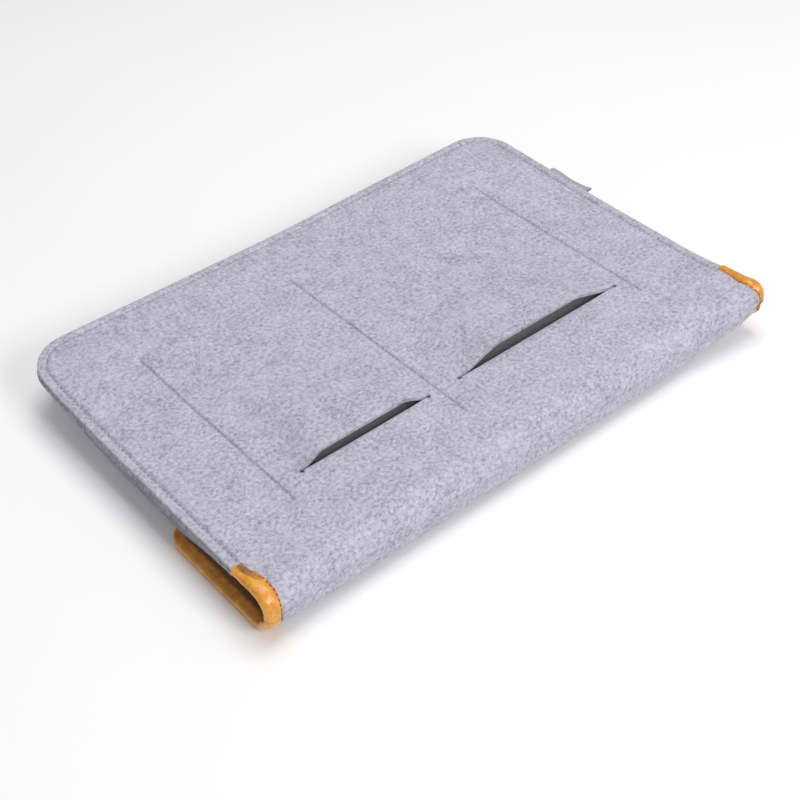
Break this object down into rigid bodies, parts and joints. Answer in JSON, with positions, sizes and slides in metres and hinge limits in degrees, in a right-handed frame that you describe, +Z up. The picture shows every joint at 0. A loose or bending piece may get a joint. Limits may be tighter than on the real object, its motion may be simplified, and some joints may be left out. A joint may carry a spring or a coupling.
{
  "type": "laptop sleeve",
  "caption": "Flat felt laptop sleeve with a fold-over flap, leather-bound fold corners and slit phone pockets on its back.",
  "frame": {"origin": "middle of the footprint, on the surface that the sleeve lies on", "axes": "+X along the fold, towards the side tab; +Y from the fold to the closed far edge; +Z up, out of the back panel with the pockets"},
  "size_m": [0.382, 0.254, 0.042],
  "materials": {
    "felt": "needle-punched wool-blend felt, mottled light lavender grey",
    "leather": "smooth glossy coated leather, amber orange",
    "lining": "thin woven lining, dark grey",
    "pocket_cloth": "thin woven pocket cloth, dark grey",
    "leather_thread": "waxed sewing thread, amber",
    "felt_thread": "sewing thread, grey",
    "closure_tape": "hook and loop tape, grey",
    "side_tab": "folded woven tape, grey"
  },
  "bodies": {
    "sleeve": {"back_panel": "felt", "front_panel": "felt", "back_lining": "lining", "front_lining": "lining", "left_pocket_bag": "pocket_cloth", "right_pocket_bag": "pocket_cloth", "left_corner_leather": "leather", "right_corner_leather": "leather", "left_corner_stitching": "leather_thread", "right_corner_stitching": "leather_thread", "perimeter_stitching": "felt_thread", "mouth_hem_stitching": "felt_thread", "left_pocket_stitching": "felt_thread", "centre_pocket_stitching": "felt_thread", "right_pocket_stitching": "felt_thread", "left_loop_tape": "closure_tape", "right_loop_tape": "closure_tape", "side_tab": "side_tab"},
    "fold_spine": {"fold_spine_felt": "felt", "fold_lining": "lining", "left_spine_leather": "leather", "right_spine_leather": "leather", "left_spine_stitching": "leather_thread", "right_spine_stitching": "leather_thread"},
    "flap": {"flap_panel": "felt", "flap_lining": "lining", "left_flap_leather": "leather", "right_flap_leather": "leather", "left_flap_stitching": "leather_thread", "right_flap_stitching": "leather_thread", "left_hook_tape": "closure_tape", "right_hook_tape": "closure_tape"}
  },
  "joints": [
    {"name": "fold_upper_hinge", "type": "hinge", "parent": "sleeve", "child": "fold_spine", "pos_m": [-0.0025, -0.12297, 0.02897], "axis": [-1, 0, 0], "range_deg": [0, 90]},
    {"name": "fold_lower_hinge", "type": "hinge", "parent": "fold_spine", "child": "flap", "pos_m": [-0.0025, -0.12297, 0.00404], "axis": [-1, 0, 0], "range_deg": [0, 90]}
  ],
  "couplings": [
    {"joint": "fold_lower_hinge", "follows": "fold_upper_hinge", "ratio": 1}
  ]
}
